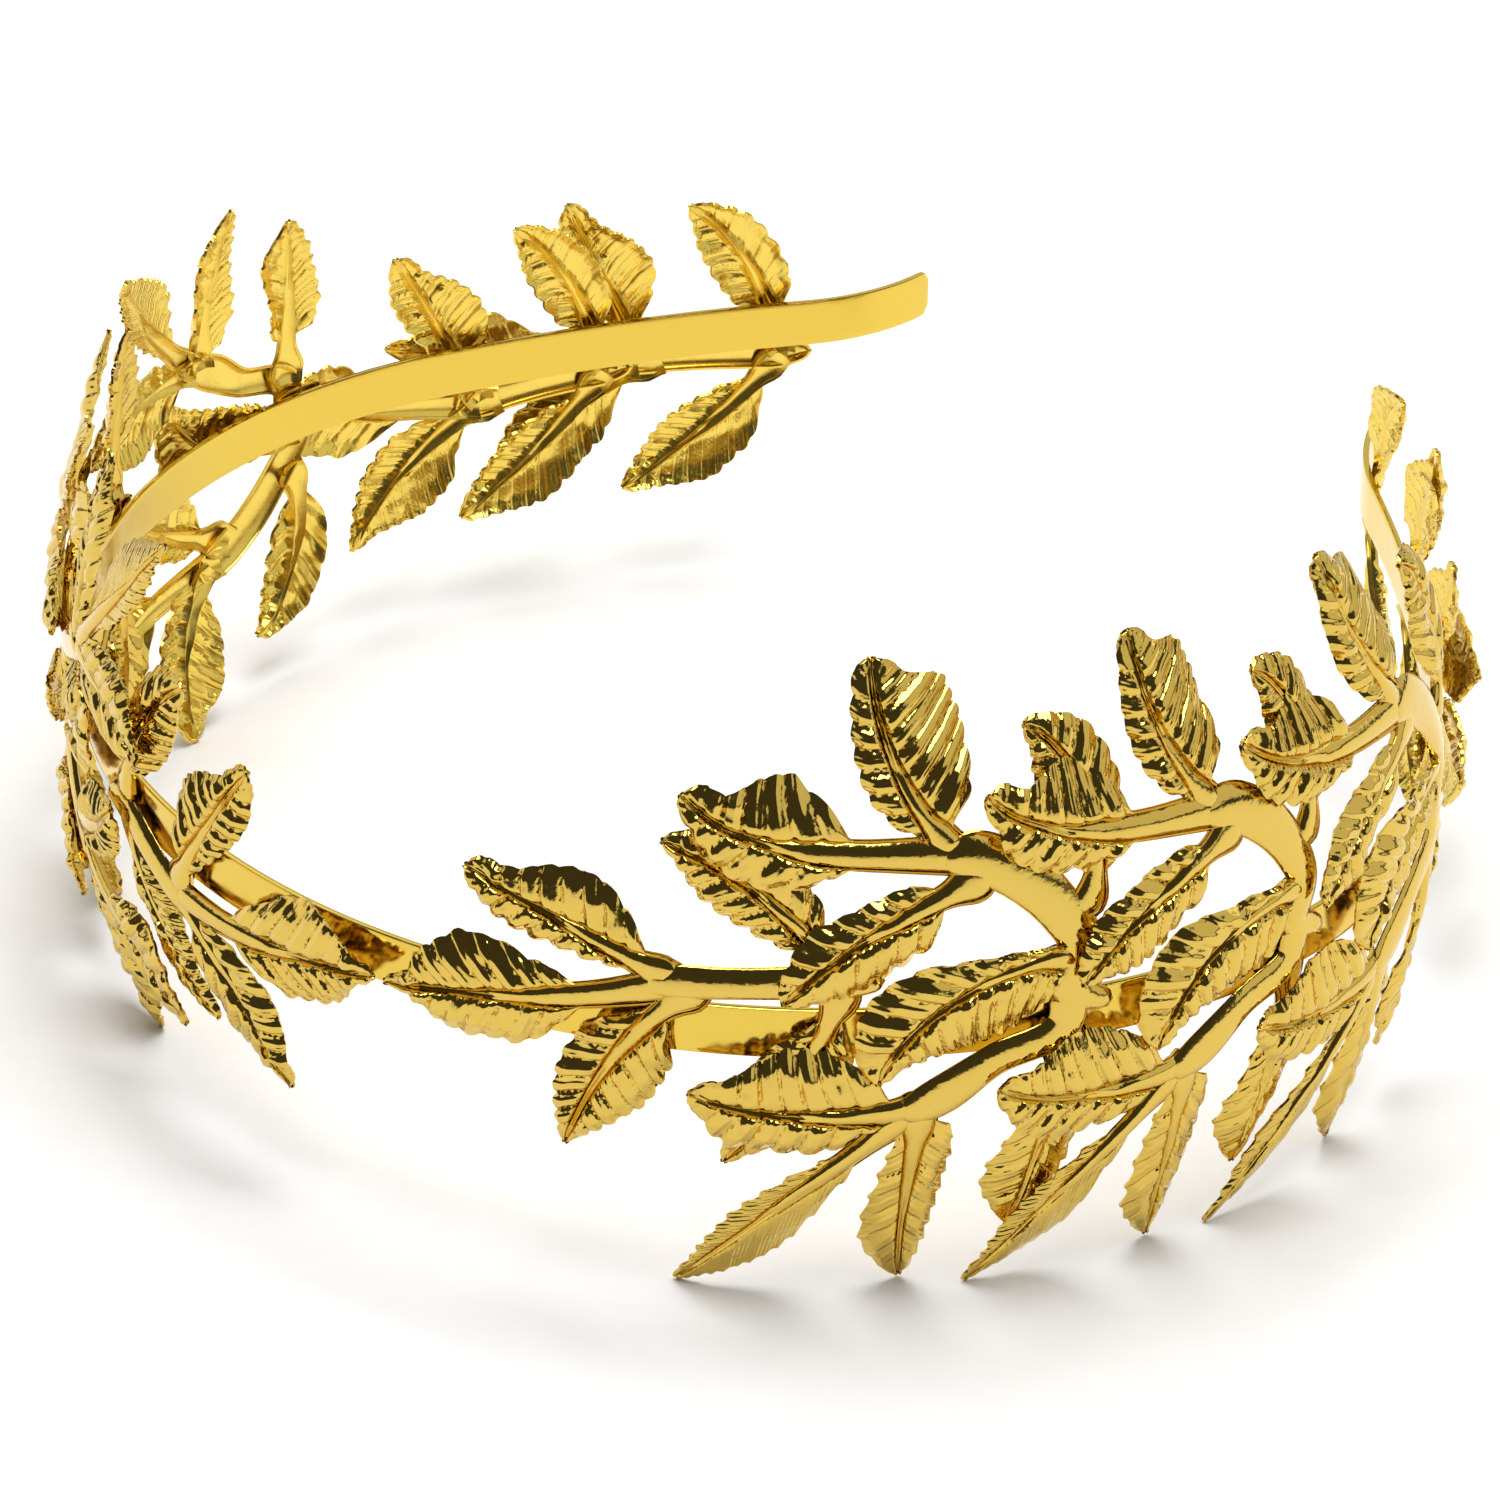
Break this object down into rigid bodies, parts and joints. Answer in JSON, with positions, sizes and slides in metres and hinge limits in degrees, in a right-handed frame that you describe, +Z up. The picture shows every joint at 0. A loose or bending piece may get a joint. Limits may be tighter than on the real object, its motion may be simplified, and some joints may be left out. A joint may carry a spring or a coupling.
{
  "type": "laurel wreath crown",
  "caption": "Open metal wreath crown: a flat ring band that carries stamped sprigs of veined laurel leaves along both arms, open at the back.",
  "frame": {"origin": "centre of the crown's box, level with the lowest leaf tips it stands on", "axes": "-Y towards the crown's front, +X towards its right arm as seen from the front, +Z up through the head opening"},
  "size_m": [0.167, 0.1698, 0.0752],
  "materials": {
    "polished_band": "polished gold plate",
    "stamped_leaf": "bright stamped gold plate"
  },
  "bodies": {
    "root": {"band": "polished_band", "sprig_right_1": "stamped_leaf", "sprig_right_2": "stamped_leaf", "sprig_right_3": "stamped_leaf", "sprig_right_4": "stamped_leaf", "sprig_right_5": "stamped_leaf", "sprig_right_6": "stamped_leaf", "sprig_left_1": "stamped_leaf", "sprig_left_2": "stamped_leaf", "sprig_left_3": "stamped_leaf", "sprig_left_4": "stamped_leaf", "sprig_left_5": "stamped_leaf", "sprig_left_6": "stamped_leaf"}
  },
  "joints": []
}
